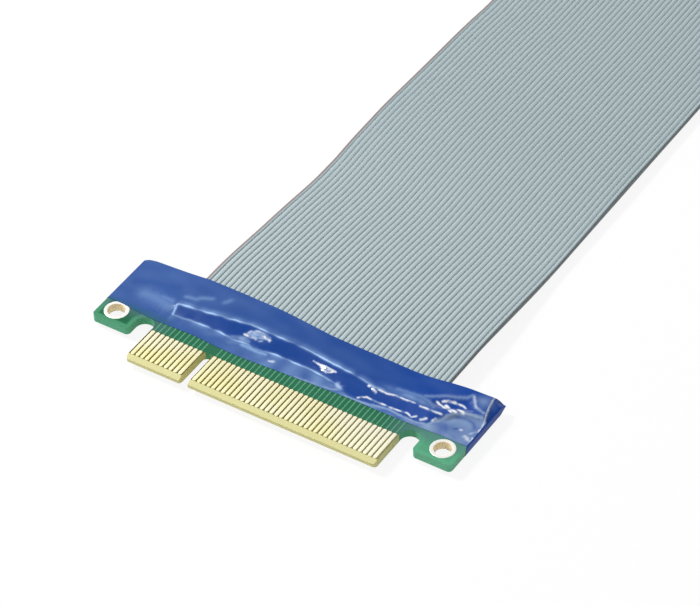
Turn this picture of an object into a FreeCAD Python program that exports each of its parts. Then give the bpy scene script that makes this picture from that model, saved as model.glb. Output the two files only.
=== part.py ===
import FreeCAD
import Part

import math
import os
from collections import namedtuple

Vector = FreeCAD.Vector

# All sizes are in millimetres. X runs along the row of fingers, Y from the card edge towards the slot
# and Z up. The origin is the middle of the tongue's front edge, half way through the board.

# Card-edge tongue
contact_pitch = 1.0
contact_count = 49          # on each face
count_before_key = 11
key_contact_gap = 3.0       # from the last contact before the key to the first one after it
key_width = 1.9
key_depth = 8.15
tongue_margin = 0.65        # from an end contact's centre to the tongue's side
tongue_length = 5.9         # from the tongue's front edge to the ears' front edge
tongue_corner = 0.5
bevel_length = 0.9
bevel_drop = 0.45
finger_width = 0.7
finger_length = 6.9
finger_setback = 1.0        # from the tongue's front edge to the fingers
copper_thickness = 0.05

# Boards
board_thickness = 1.6
board_corner = 0.8
ear_width = 7.75
ear_depth = 16.5            # from the ears' front edge to the edge board's ribbon side
relief_width = 3.7          # notch between the tongue and an ear
relief_reach = 4.25         # how far that notch runs past the ears' front edge
hole_radius = 1.6
hole_side_margin = 3.3      # from a hole's centre to the board's side
hole_setback = 3.0          # from a hole's centre to the board's edge away from the ribbon
barrel_wall = 0.05
ring_width = 0.7

# Ribbons
ribbon_ways = 50
ribbon_pitch = 1.016
ribbon_thickness = 0.9
groove_depth = 0.18
crest_width = 0.42          # flat top of each ridge
upper_ribbon_offset = 1.5   # from the boards' centre line to the upper ribbon's
lower_ribbon_offset = 0.9   # and to the lower ribbon's
ribbon_overlap = 5.1        # length of ribbon that lies on each board
ribbon_span = 136.0         # from one board's edge to the other's
level_run = 13.5            # the upper ribbon stays level this far past the edge board
drop_run = 23.0             # and then comes down on the lower one over this length
rise_run = 16.0             # both ribbons rise over this length
rise_end_gap = 1.5          # and are level again this far before the socket board

# Soldered wire ends
joint_width = 0.5
joint_height = 0.6
joint_length = 4.2

# Tape
tape_thickness = 0.12
tape_width = 12.1
tape_overhang = 0.2         # past the board's ribbon side
tape_step = 0.7             # length of the step from the ribbon down to the joints
tape_side_gap = 0.3         # the tape stays level this far past the ribbon's left side, then slopes down
tape_flat = 0.4             # flat margin along the board's sides
tape_fold = 2.0             # from the board's right side to the fold where the tape turns down

# Slot
card_side_clearance = 0.2
card_face_clearance = 0.1
key_clearance = 0.1
slot_depth = 8.0
back_wall = 3.25
end_wall = 2.25
side_wall = 1.65
channel_height = 1.2        # room behind the contacts
mouth_wall = 1.2            # from the mouth to the contacts' channels
mouth_lead = 0.5
housing_chamfer = 0.4

# Contacts
contact_width = 0.5
contact_thickness = 0.2
contact_clearance = 0.05
contact_preload = 0.25      # how far the tip stands inside the card's face
tip_setback = 0.4           # from the end of the channel to the tip
beam_start = 0.3            # from the slot's floor to the beam's bend
tail_length = 4.6
tail_gap = 0.5              # from the tape to the contacts' tails

# Places that follow from the sizes
contact_span = (contact_count - 2) * contact_pitch + key_contact_gap
tongue_half = contact_span / 2 + tongue_margin
key_x = -contact_span / 2 + (count_before_key - 1) * contact_pitch + key_contact_gap / 2
board_half = tongue_half + relief_width + ear_width
face_height = board_thickness / 2
edge_board_depth = tongue_length + ear_depth
ribbon_width = ribbon_ways * ribbon_pitch
slot_half = face_height + card_face_clearance
slot_length = 2 * (tongue_half + card_side_clearance)
housing_depth = back_wall + slot_depth
housing_half_height = slot_half + channel_height + side_wall
floor_z = -(face_height + ribbon_thickness + tape_thickness)
socket_mid_z = floor_z + housing_half_height
socket_front_y = edge_board_depth + ribbon_span
housing_back_y = socket_front_y + tape_width - tape_overhang + tail_gap + tail_length
mouth_y = housing_back_y + housing_depth

# One end of the ribbons: the board's ribbon side, the way onto the board and the board's mid height
End = namedtuple("End", "edge_y inward mid_z")
edge_end = End(edge_board_depth, -1, 0.0)
socket_end = End(socket_front_y, 1, socket_mid_z)


def contact_places():
    places = []
    for number in range(contact_count):
        x = -contact_span / 2 + number * contact_pitch
        if number >= count_before_key:
            x += key_contact_gap - contact_pitch
        places.append(x)
    return places


def ribbon_sides(side):
    middle = upper_ribbon_offset if side > 0 else lower_ribbon_offset
    return middle - ribbon_width / 2, middle + ribbon_width / 2


def box(low, high):
    size = Vector(*high) - Vector(*low)
    return Part.makeBox(size.x, size.y, size.z, Vector(*low))


def polygon_prism(points, run):
    return Part.Face(Part.makePolygon(points + points[:1])).extrude(run)


def prism_along_x(outline, x_low, x_high):
    return polygon_prism([Vector(x_low, y, z) for y, z in outline], Vector(x_high - x_low, 0, 0))


def prism_along_y(outline, y_low, y_high):
    return polygon_prism([Vector(x, y_low, z) for x, z in outline], Vector(0, y_high - y_low, 0))


def rounded_plate(corners, z_low, z_high):
    # A plate whose outline turns each corner (x, y, radius) with a tangent arc
    turns = []
    for place, (x, y, radius) in enumerate(corners):
        corner = Vector(x, y, z_low)
        after_x, after_y, _ = corners[(place + 1) % len(corners)]
        before_x, before_y, _ = corners[place - 1]
        towards_before = (Vector(before_x, before_y, z_low) - corner).normalize()
        towards_after = (Vector(after_x, after_y, z_low) - corner).normalize()
        half_angle = towards_before.getAngle(towards_after) / 2
        trim = radius / math.tan(half_angle)
        inwards = (towards_before + towards_after).normalize()
        middle = corner + inwards * (radius / math.sin(half_angle) - radius)
        turns.append((corner + towards_before * trim, middle, corner + towards_after * trim))
    edges = []
    for place, (start, middle, end) in enumerate(turns):
        if corners[place][2] > 0:
            edges.append(Part.Arc(start, middle, end).toShape())
        next_start = turns[(place + 1) % len(turns)][0]
        if end.distanceToPoint(next_start) > 1e-6:
            edges.append(Part.makeLine(end, next_start))
    return Part.Face(Part.Wire(edges)).extrude(Vector(0, 0, z_high - z_low))


def hole_places():
    hole_x = board_half - hole_side_margin
    edge_hole_y = tongue_length + hole_setback
    socket_hole_y = housing_back_y - hole_setback
    places = []
    for hole_y, mid_z in ((edge_hole_y, edge_end.mid_z), (socket_hole_y, socket_end.mid_z)):
        places += [Vector(-hole_x, hole_y, mid_z), Vector(hole_x, hole_y, mid_z)]
    return places


def drilled(board):
    bore_radius = hole_radius + barrel_wall
    for place in hole_places():
        start = place - Vector(0, 0, board_thickness)
        board = board.cut(Part.makeCylinder(bore_radius, 2 * board_thickness, start))
    return board


def make_edge_board():
    relief_end = tongue_length + relief_reach
    relief_out = tongue_half + relief_width
    relief_radius = relief_width / 2
    key_radius = key_width / 2
    key_left = key_x - key_radius
    key_right = key_x + key_radius
    plate = rounded_plate([
        (-board_half, tongue_length, board_corner),
        (-relief_out, tongue_length, board_corner),
        (-relief_out, relief_end, relief_radius),
        (-tongue_half, relief_end, relief_radius),
        (-tongue_half, 0, tongue_corner),
        (key_left, 0, 0),
        (key_left, key_depth, key_radius),
        (key_right, key_depth, key_radius),
        (key_right, 0, 0),
        (tongue_half, 0, tongue_corner),
        (tongue_half, relief_end, relief_radius),
        (relief_out, relief_end, relief_radius),
        (relief_out, tongue_length, board_corner),
        (board_half, tongue_length, board_corner),
        (board_half, edge_board_depth, 0),
        (-board_half, edge_board_depth, 0),
    ], -face_height, face_height)
    for side in (1, -1):
        bevel = [(0, side * face_height), (bevel_length, side * face_height),
                 (0, side * (face_height - bevel_drop))]
        plate = plate.cut(prism_along_x(bevel, -tongue_half, tongue_half))
    return drilled(plate)


def make_socket_board():
    plate = rounded_plate([
        (-board_half, socket_front_y, 0),
        (board_half, socket_front_y, 0),
        (board_half, housing_back_y, board_corner),
        (-board_half, housing_back_y, board_corner),
    ], socket_mid_z - face_height, socket_mid_z + face_height)
    return drilled(plate)


def make_hole_plating():
    # Each hole has a barrel through the board and a tinned ring on both faces, thickest at its rim
    bore_radius = hole_radius + barrel_wall
    ring_radius = bore_radius + ring_width
    outer = face_height + copper_thickness
    section = [Vector(r, 0, z) for r, z in (
        (hole_radius, -outer), (ring_radius, -face_height), (bore_radius, -face_height),
        (bore_radius, face_height), (ring_radius, face_height), (hole_radius, outer))]
    face = Part.Face(Part.makePolygon(section + section[:1]))
    liner = face.revolve(Vector(0, 0, 0), Vector(0, 0, 1), 360)
    return Part.makeCompound([liner.translated(place) for place in hole_places()])


def make_fingers(side):
    half = finger_width / 2
    start_z = min(side * face_height, side * (face_height + copper_thickness))
    low_y = finger_setback
    high_y = finger_setback + finger_length
    return Part.makeCompound([box((x - half, low_y, start_z), (x + half, high_y, start_z + copper_thickness))
                              for x in contact_places()])


def ribbon_section(left, y, mid_z):
    # The ribbon's cross-section: a row of flat-topped ridges on both faces, with grooves between them
    crest = ribbon_thickness / 2
    groove = crest - groove_depth
    slope_width = (ribbon_pitch - crest_width) / 2
    profile = []
    for way in range(ribbon_ways):
        x = left + way * ribbon_pitch
        profile += [(x, groove), (x + slope_width, crest), (x + slope_width + crest_width, crest)]
    profile.append((left + ribbon_width, groove))
    points = [Vector(x, y, mid_z + height) for x, height in profile]
    points += [Vector(x, y, mid_z - height) for x, height in reversed(profile)]
    return Part.makePolygon(points + points[:1])


def make_ribbon(side):
    left, _ = ribbon_sides(side)
    return Part.makeLoft([ribbon_section(left, y, z) for y, z in ribbon_stations(side)], True, True)


def ribbon_stations(side):
    on_edge = face_height + ribbon_thickness / 2
    first_y = edge_board_depth - ribbon_overlap
    last_y = socket_front_y + ribbon_overlap
    rise_end_y = socket_front_y - rise_end_gap
    rise_start_y = rise_end_y - rise_run
    drop_start_y = edge_board_depth + level_run
    drop_end_y = drop_start_y + drop_run
    socket_z = socket_mid_z + side * on_edge
    if side > 0:
        lying_z = ribbon_thickness - on_edge
        start = [(first_y, on_edge), (drop_start_y, on_edge), (drop_end_y, lying_z)]
    else:
        lying_z = -on_edge
        start = [(first_y, lying_z)]
    return start + [(rise_start_y, lying_z), (rise_end_y, socket_z), (last_y, socket_z)]


def on_board(end, side, profile):
    # Turns distances onto a board and heights above its face into Y and Z
    return [(end.edge_y + end.inward * inset, end.mid_z + side * (face_height + height))
            for inset, height in profile]


def make_joints(end, side):
    # Soldered wire ends: one for each contact, sloping from the ribbon's end down to its pad
    tip = ribbon_overlap + joint_length
    profile = on_board(end, side, [(ribbon_overlap, 0), (ribbon_overlap, joint_height), (tip, 0)])
    left, _ = ribbon_sides(side)
    joints = []
    for number in range(contact_count):
        x = left + (number + 0.5) * ribbon_pitch
        joints.append(prism_along_x(profile, x - joint_width / 2, x + joint_width / 2))
    return Part.makeCompound(joints)


def tape_lump(end, skin):
    # What the tape wraps, grown by a skin: the section over ribbon and joints, hipped at both of its sides
    side_x = board_half + skin
    low_inset = -tape_overhang
    high_inset = tape_width - tape_overhang
    tip = ribbon_overlap + joint_length
    flat = copper_thickness + skin
    top = ribbon_thickness + skin
    profile = [(low_inset, top), (ribbon_overlap, top),
               (ribbon_overlap + tape_step, joint_height + skin), (tip, flat), (high_inset, flat)]
    section = on_board(end, 1, profile) + on_board(end, -1, profile[::-1])
    outline = []
    for side in (1, -1):
        left, _ = ribbon_sides(side)
        tent = [(-side_x, flat), (tape_flat - board_half, flat), (left - tape_side_gap, top),
                (board_half - tape_fold, top), (board_half - tape_flat, flat), (side_x, flat)]
        outline += [(x, end.mid_z + side * (face_height + height)) for x, height in tent[::side]]
    ends_y = [end.edge_y + end.inward * inset for inset in (low_inset, high_inset)]
    along = prism_along_x(section, -side_x, side_x)
    return along.common(prism_along_y(outline, min(ends_y), max(ends_y)))


def make_tape(end):
    # One turn of film round the board, over both rows of joints and the ribbons' ends
    return tape_lump(end, tape_thickness).cut(tape_lump(end, 0))


def slot_spans():
    # The slot's two stretches, either side of the key
    key_half = key_width / 2 - key_clearance
    return ((-slot_length / 2, key_x - key_half), (key_x + key_half, slot_length / 2))


def make_slot_housing():
    half_length = slot_length / 2 + end_wall
    block = box((-half_length, housing_back_y, socket_mid_z - housing_half_height),
                (half_length, mouth_y, socket_mid_z + housing_half_height))
    rim = [edge for edge in block.Edges if all(vertex.Y > mouth_y - 1e-6 for vertex in edge.Vertexes)]
    block = block.makeChamfer(housing_chamfer, rim)
    slot_floor_y = housing_back_y + back_wall
    channel_end_y = mouth_y - mouth_wall
    window_low = face_height - contact_clearance
    window_high = face_height + contact_thickness + contact_clearance
    hollows = []
    for x_low, x_high in slot_spans():
        hollows.append(box((x_low, slot_floor_y, socket_mid_z - slot_half),
                           (x_high, mouth_y, socket_mid_z + slot_half)))
        wide = slot_half + mouth_lead
        lead = [(mouth_y, socket_mid_z - wide), (mouth_y, socket_mid_z + wide),
                (mouth_y - mouth_lead, socket_mid_z + slot_half),
                (mouth_y - mouth_lead, socket_mid_z - slot_half)]
        hollows.append(prism_along_x(lead, x_low, x_high))
        channel_half = slot_half + channel_height
        hollows.append(box((x_low, slot_floor_y, socket_mid_z - channel_half),
                           (x_high, channel_end_y, socket_mid_z + channel_half)))
        for low, high in ((window_low, window_high), (-window_high, -window_low)):
            hollows.append(box((x_low, housing_back_y, socket_mid_z + low),
                               (x_high, slot_floor_y, socket_mid_z + high)))
    return block.cut(hollows).removeSplitter()


def make_contacts(side):
    # Spring strips: a tail on the board and a beam that leans into the slot
    tip_y = mouth_y - mouth_wall - tip_setback
    path = [(housing_back_y - tail_length, 0), (housing_back_y + back_wall + beam_start, 0),
            (tip_y, -contact_preload)]
    outline = path + [(y, height + contact_thickness) for y, height in reversed(path)]
    profile = [(y, socket_mid_z + side * (face_height + height)) for y, height in outline]
    half = contact_width / 2
    return Part.makeCompound([prism_along_x(profile, x - half, x + half) for x in contact_places()])


pieces = {
    "edge_board": make_edge_board(),
    "upper_fingers": make_fingers(1),
    "lower_fingers": make_fingers(-1),
    "hole_plating": make_hole_plating(),
    "upper_edge_joints": make_joints(edge_end, 1),
    "lower_edge_joints": make_joints(edge_end, -1),
    "edge_tape": make_tape(edge_end),
    "upper_ribbon": make_ribbon(1),
    "lower_ribbon": make_ribbon(-1),
    "socket_board": make_socket_board(),
    "upper_socket_joints": make_joints(socket_end, 1),
    "lower_socket_joints": make_joints(socket_end, -1),
    "socket_tape": make_tape(socket_end),
    "slot_housing": make_slot_housing(),
    "upper_contacts": make_contacts(1),
    "lower_contacts": make_contacts(-1),
}

os.makedirs("parts", exist_ok=True)
for name, shape in pieces.items():
    shape.exportStep("parts/" + name + ".step")
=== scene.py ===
import bmesh
import bpy
import math
from mathutils import Matrix, Vector, noise


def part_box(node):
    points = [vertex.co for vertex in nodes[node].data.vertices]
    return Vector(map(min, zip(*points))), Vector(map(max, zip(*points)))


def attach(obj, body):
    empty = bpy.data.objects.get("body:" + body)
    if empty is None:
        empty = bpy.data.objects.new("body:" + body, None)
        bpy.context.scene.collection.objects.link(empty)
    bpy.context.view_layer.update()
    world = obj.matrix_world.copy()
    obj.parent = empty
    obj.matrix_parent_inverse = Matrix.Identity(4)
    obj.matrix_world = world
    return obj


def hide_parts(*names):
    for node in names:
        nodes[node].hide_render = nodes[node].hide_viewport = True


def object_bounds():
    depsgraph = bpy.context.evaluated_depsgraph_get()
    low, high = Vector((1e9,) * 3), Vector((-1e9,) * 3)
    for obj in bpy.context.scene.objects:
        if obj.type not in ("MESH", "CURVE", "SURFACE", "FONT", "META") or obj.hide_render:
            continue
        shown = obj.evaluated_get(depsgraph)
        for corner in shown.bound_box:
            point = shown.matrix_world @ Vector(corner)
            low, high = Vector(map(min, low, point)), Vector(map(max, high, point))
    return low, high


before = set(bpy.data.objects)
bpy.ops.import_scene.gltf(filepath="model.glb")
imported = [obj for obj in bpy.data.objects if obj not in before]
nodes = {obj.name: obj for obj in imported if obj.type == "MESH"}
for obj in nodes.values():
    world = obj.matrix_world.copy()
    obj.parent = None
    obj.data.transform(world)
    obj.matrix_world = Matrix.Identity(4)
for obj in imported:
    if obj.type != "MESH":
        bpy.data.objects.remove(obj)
cadBox = [list(corner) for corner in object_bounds()]
mm = 0.001      # pieces are drawn in millimetres and brought to metres as they are finished
print("frame loaded:", len(nodes), "nodes")


# Shaping helpers

def boxOf(node):
    low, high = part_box(node)
    return low / mm, high / mm


def ramp(low, high, value):     # 0 before low, 1 after high, straight between
    return min(max((value - low) / (high - low), 0.0), 1.0)


def ease(low, high, value):     # the same with soft ends
    share = ramp(low, high, value)
    return share * share * (3 - 2 * share)


def mix(first, second, share):
    return first + (second - first) * share


def throughPoints(points):      # a smooth line through given points, with no overshoot
    steps = [(b[1] - a[1]) / (b[0] - a[0]) for a, b in zip(points, points[1:])]
    slopes = [steps[0]]
    for before, after in zip(steps, steps[1:]):
        slopes.append(2 * before * after / (before + after) if before * after > 0 else 0.0)
    slopes.append(steps[-1])

    def valueAt(x):
        x = min(max(x, points[0][0]), points[-1][0])
        last = len(points) - 2
        spot = next((i for i in range(last) if x < points[i + 1][0]), last)
        (x0, y0), (x1, y1) = points[spot], points[spot + 1]
        run = x1 - x0
        t = (x - x0) / run
        rise = (2 * t ** 3 - 3 * t ** 2 + 1) * y0 + (3 * t ** 2 - 2 * t ** 3) * y1
        return rise + run * ((t ** 3 - 2 * t ** 2 + t) * slopes[spot] + (t ** 3 - t ** 2) * slopes[spot + 1])
    return valueAt


def ruffle(x, y, size, seed):   # smooth noise from -1 to 1 with lumps of the given size
    return noise.noise(Vector((x / size, y / size, seed)))


def facets(x, y, size, seed):   # flat triangles between random heights from -1 to 1, as in creased film
    ahead, aside = 0.87, 0.5    # their grid is turned by about 30 degrees
    u = (ahead * x + aside * y) / size
    v = (ahead * y - aside * x) / size
    i, j = math.floor(u), math.floor(v)
    u, v = u - i, v - j
    corners = ((0, 0), (1, 0), (0, 1), (1, 1))
    near, right, far, over = [noise.cell(Vector((i + a, j + b, seed))) for a, b in corners]
    if u + v < 1:
        return near + (right - near) * u + (far - near) * v
    return over + (far - over) * (1 - u) + (right - over) * (1 - v)


def vertsOf(geom):
    return [part for part in geom if isinstance(part, bmesh.types.BMVert)]


def spread(bm, shifts):     # what is drawn so far, repeated at each shift
    sample = bm.verts[:] + bm.edges[:] + bm.faces[:]
    for shift in shifts[1:]:
        copied = bmesh.ops.duplicate(bm, geom=sample)["geom"]
        bmesh.ops.translate(bm, vec=shift, verts=vertsOf(copied))
    bmesh.ops.translate(bm, vec=shifts[0], verts=vertsOf(sample))


def finishPiece(bm, name, finish, replaced=(), sharpAngle=40):
    bmesh.ops.recalc_face_normals(bm, faces=bm.faces)
    bmesh.ops.scale(bm, vec=(mm, mm, mm), verts=bm.verts)
    for face in bm.faces:
        face.smooth = True
    for edge in bm.edges:
        edge.smooth = edge.calc_face_angle(0) < math.radians(sharpAngle)
    mesh = bpy.data.meshes.new(name)
    bm.to_mesh(mesh)
    bm.free()
    mesh.materials.append(finish)
    piece = bpy.data.objects.new(name, mesh)
    bpy.context.scene.collection.objects.link(piece)
    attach(piece, "root")
    if replaced:
        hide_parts(*replaced)
    print("made", name, len(mesh.polygons), "faces")


def dress(node, finish):        # a new finish on a node that keeps its own shape
    nodes[node].data.materials.clear()
    nodes[node].data.materials.append(finish)


# Shader helpers

class Wire:     # a socket that works in plain expressions
    def __init__(self, owner, socket):
        self.owner = owner
        self.socket = socket

    def maths(self, operation, *values):
        return self.owner.node("ShaderNodeMath", {"operation": operation}, values)

    def __add__(self, other):
        return self.maths("ADD", self, other)

    __radd__ = __add__

    def __sub__(self, other):
        return self.maths("SUBTRACT", self, other)

    def __rsub__(self, other):
        return self.maths("SUBTRACT", other, self)

    def __mul__(self, other):
        return self.maths("MULTIPLY", self, other)

    __rmul__ = __mul__

    def __truediv__(self, other):
        return self.maths("DIVIDE", self, other)

    def __abs__(self):
        return self.maths("ABSOLUTE", self)

    def root(self):
        return self.maths("SQRT", self)

    def lesser(self, other):
        return self.maths("MINIMUM", self, other)

    def greater(self, other):
        return self.maths("MAXIMUM", self, other)


class Nodes:    # a node tree and the ways to add to it
    def __init__(self, tree):
        self.tree = tree

    def node(self, kind, settings, sockets=(), output=0):
        made = self.tree.nodes.new(kind)
        for name, value in settings.items():
            setattr(made, name, value)
        for key, value in sockets.items() if isinstance(sockets, dict) else enumerate(sockets):
            self.feed(made.inputs[key], value)
        return Wire(self, made.outputs[output])

    def feed(self, socket, value):
        if isinstance(value, Wire):
            self.tree.links.new(value.socket, socket)
        else:
            socket.default_value = value

    def ease(self, low, high, value):
        return self.node("ShaderNodeMapRange", {"interpolation_type": "SMOOTHSTEP"},
                         {"Value": value, "From Min": low, "From Max": high})

    def colour(self, share, first, second):
        return self.node("ShaderNodeMix", {"data_type": "RGBA"}, {0: share, 6: first, 7: second}, 2)


class Finish(Nodes):    # one material
    def __init__(self, name):
        self.material = bpy.data.materials.new(name)
        self.material.use_nodes = True
        Nodes.__init__(self, self.material.node_tree)
        self.shader = self.tree.nodes["Principled BSDF"]
        self.place = self.node("ShaderNodeTexCoord", {}, (), "Object")

    def axis(self, letter):     # an object coordinate in millimetres
        return self.node("ShaderNodeSeparateXYZ", {}, [self.place], letter) / mm

    def attribute(self, name):      # a value kept on the mesh's own points
        return self.node("ShaderNodeAttribute", {"attribute_name": name}, (), "Fac")

    def grain(self, size, detail=2.0, stretch=(1, 1, 1)):   # noise from 0 to 1, lumps of that many mm
        spot = self.node("ShaderNodeMapping", {}, {"Vector": self.place, "Scale": stretch})
        sockets = {"Vector": spot, "Scale": 1 / (size * mm), "Detail": detail}
        return self.node("ShaderNodeTexNoise", {}, sockets)

    def bump(self, height, depth):      # depth in millimetres
        sockets = {"Height": height, "Strength": 1.0, "Distance": depth * mm}
        self.feed(self.shader.inputs["Normal"], self.node("ShaderNodeBump", {}, sockets))

    def done(self, sockets):
        for name, value in sockets.items():
            self.feed(self.shader.inputs[name], value)
        return self.material


def rgb(red, green, blue):      # a colour as seen on screen, from 0 to 255
    shown = [part / 255 for part in (red, green, blue)]
    return [p / 12.92 if p <= 0.04045 else ((p + 0.055) / 1.055) ** 2.4 for p in shown] + [1.0]


boardLow, boardHigh = boxOf("edge_board")
socketLow, socketHigh = boxOf("socket_board")
ribbonLow, ribbonHigh = boxOf("upper_ribbon")
underLow = boxOf("lower_ribbon")[0]
fingerLow, fingerHigh = boxOf("upper_fingers")
housingLow, housingHigh = boxOf("slot_housing")
socketMidZ = (socketLow.z + socketHigh.z) / 2


# Boards: green mask over glass laminate, bare on the card edge

boardLook = {
    "pour": rgb(30, 101, 66), "margin": rgb(74, 150, 110), "wall": rgb(76, 168, 126),
    "bright": rgb(100, 182, 142), "paintedLightFrom": (23, 31), "paintedLightShare": 0.7,
    "paintedFilmShade": rgb(84, 114, 126), "paintedFilmShadeFrom": (7.5, 10.5), "paintedFilmShadeUpTo": (12, 14), "paintedFilmShadeSides": (21, 25),
    "laminate": rgb(216, 211, 146), "laminateWall": rgb(206, 198, 128),
    "shadedGap": rgb(101, 91, 26), "litGap": rgb(133, 126, 74), "litGapFrom": (4, 28),
    "notchMiddle": (27.5, 8.3), "notchRadius": 1.85, "earFront": 5.9, "marginWidth": 0.85, "marginBlur": 0.25,
    "faceFrom": (0.03, 0.01), "bumpDepth": 0.006,
}


def boardFinish(name, midZ, bareUpTo):
    finish = Finish(name)
    look = boardLook
    x, y = finish.axis("X"), finish.axis("Y")
    aside = abs(x)
    belowFace, atFace = [boardHigh.z - depth for depth in look["faceFrom"]]
    onFace = finish.ease(belowFace, atFace, abs(finish.axis("Z") - midZ))
    notchX, notchY = look["notchMiddle"]
    acrossNotch = aside - notchX
    alongNotch = (y - notchY).greater(0)
    fromNotch = (acrossNotch * acrossNotch + alongNotch * alongNotch).root() - look["notchRadius"]
    byFingers = 1 - finish.ease(notchX - 0.6, notchX + 1.4, aside)
    fromNotch = fromNotch + 2 * byFingers       # the notch has a margin on the ear's side only
    ear = finish.ease(notchX, notchX + 0.1, aside)
    fromFront = y - look["earFront"] + 20 * (1 - ear)       # far away where there is no ear
    fromEdge = (boardHigh.x - aside).lesser(fromNotch).lesser(fromFront)
    width, blur = look["marginWidth"], look["marginBlur"]
    margin = 1 - finish.ease(width - blur, width + blur, fromEdge)
    mottle = finish.grain(3.0, 3.0)
    mask = finish.colour(margin, look["pour"], look["margin"])
    mask = finish.colour(mottle * 0.25, mask, look["margin"])
    mask = finish.colour(onFace, look["wall"], mask)
    # painted light: the mask turns lighter towards the right ear
    mask = finish.colour(finish.ease(*look["paintedLightFrom"], x) * look["paintedLightShare"], mask, look["bright"])
    # painted shade: the mask is darker and grey-blue just in front of the film, most on the ears
    paintedFilmShade = finish.ease(*look["paintedFilmShadeFrom"], y + 1.5 * (1 - ear)) * (1 - finish.ease(*look["paintedFilmShadeUpTo"], y))
    paintedFilmShade = paintedFilmShade * onFace * (0.1 + 0.45 * finish.ease(*look["paintedFilmShadeSides"], aside))
    mask = finish.colour(paintedFilmShade, mask, look["paintedFilmShade"])
    bare = (1 - finish.ease(bareUpTo - 0.05, bareUpTo + 0.05, y)) * (1 - ear)
    weave = finish.grain(0.35, 2.0, (1, 1, 3))
    laminate = finish.colour(weave * 0.35, look["laminate"], look["laminateWall"])
    # painted shade: the laminate between the fingers is darker, and painted light makes it paler towards the
    # right
    shadedGap = finish.colour(finish.ease(*look["litGapFrom"], x), look["shadedGap"], look["litGap"])
    betweenFingers = finish.ease(fingerLow.y - 0.1, fingerLow.y + 0.1, y) * onFace
    laminate = finish.colour(betweenFingers, laminate, shadedGap)
    roughness = 0.55 - 0.37 * onFace + 0.3 * bare * onFace + 0.06 * mottle
    finish.bump(finish.grain(0.25, 3.0) * (0.3 + 0.7 * bare) * (0.2 + 0.8 * onFace), look["bumpDepth"])
    return finish.done({"Base Color": finish.colour(bare, mask, laminate), "Roughness": roughness})


dress("edge_board", boardFinish("greenMaskEdge", 0.0, fingerHigh.y))
dress("socket_board", boardFinish("greenMaskSocket", socketMidZ, boardLow.y - 1))
print("boards dressed")


# Card-edge fingers, with the covered tracks that run on from them under the tape

fingers = {
    "count": 49, "beforeKey": 11, "pitch": 1.0, "keyGap": 3.0, "width": 0.7, "corner": 0.3, "rim": 0.02,
    "trackWidth": 0.3, "trackHeight": 0.03, "trackCorner": 0.135, "trackOverlap": 0.1, "trackEnd": 12.0,
}


def contactPlaces():
    places = []
    x = fingerLow.x + fingers["width"] / 2
    for number in range(fingers["count"]):
        places.append(x)
        x += fingers["keyGap"] if number == fingers["beforeKey"] - 1 else fingers["pitch"]
    return places


def roundedStrip(bm, width, lowY, highY, lowZ, thickness, corner, rim):     # a flat bar with eased top edges
    corners = bmesh.ops.create_grid(bm, x_segments=1, y_segments=1, size=0.5)["verts"]
    bmesh.ops.scale(bm, vec=(width, highY - lowY, 1), verts=corners)
    bmesh.ops.translate(bm, vec=(0, (lowY + highY) / 2, lowZ), verts=corners)
    bmesh.ops.bevel(bm, geom=corners, offset=corner, affect="VERTICES", segments=4, profile=0.5, material=-1)
    top = bmesh.ops.extrude_face_region(bm, geom=bm.faces[:])["geom"]
    bmesh.ops.translate(bm, vec=(0, 0, thickness), verts=vertsOf(top))
    rimEdges = [e for e in top if isinstance(e, bmesh.types.BMEdge)]
    bmesh.ops.bevel(bm, geom=rimEdges, offset=rim, affect="EDGES", segments=2, profile=0.5, material=-1)


def stripRow(name, finish, replaced, side, width, lowY, highY, thickness, corner):
    bm = bmesh.new()
    roundedStrip(bm, width, lowY, highY, boardHigh.z, thickness, corner, fingers["rim"])
    spread(bm, [Vector((x, 0, 0)) for x in contactPlaces()])
    if side < 0:
        bmesh.ops.scale(bm, vec=(1, 1, -1), verts=bm.verts)
    finishPiece(bm, name, finish, replaced)


def goldFinish():
    finish = Finish("palegold")
    cloud = finish.grain(9.0, 2.0)
    rub = finish.grain(0.25, 3.0, (6, 0.4, 1))
    warm = finish.colour(finish.ease(0.35, 0.65, cloud), rgb(253, 248, 204), rgb(248, 240, 168))
    # painted reflection: the gold turns whiter towards the right and the rear of the fingers
    pale = finish.ease(8, 26, finish.axis("X")) * 0.55 + finish.ease(2, 9, finish.axis("Y")) * 0.4
    base = finish.colour(pale + rub * 0.2, warm, rgb(255, 252, 232))
    finish.bump(rub, 0.004)
    return finish.done({"Base Color": base, "Metallic": 0.12, "Roughness": 0.36 + 0.14 * rub})


def trackFinish():
    finish = Finish("maskOverTracks")
    mottle = finish.grain(1.5, 3.0)
    base = finish.colour(mottle, rgb(74, 150, 112), rgb(94, 166, 128))
    finish.bump(finish.grain(0.2, 3.0), 0.008)
    return finish.done({"Base Color": base, "Roughness": 0.18 + 0.06 * mottle})


gold = goldFinish()
tracks = trackFinish()
for side, word in ((1, "upper"), (-1, "lower")):
    stripRow(word + "FingerPlates", gold, [word + "_fingers"], side, fingers["width"],
             fingerLow.y, fingerHigh.y, fingerHigh.z - fingerLow.z, fingers["corner"])
    stripRow(word + "Tracks", tracks, (), side, fingers["trackWidth"],
             fingerHigh.y - fingers["trackOverlap"], fingers["trackEnd"], fingers["trackHeight"],
             fingers["trackCorner"])


# Plated holes: a barrel with a domed ring on each face

liner = {
    "hole": 1.6, "bore": 1.65, "ring": 2.28, "rise": 0.05, "rounding": 0.03, "setback": 3.3, "edgeY": 8.9,
    "socketY": 172.4, "steps": 72, "weld": 0.001,
}


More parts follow.
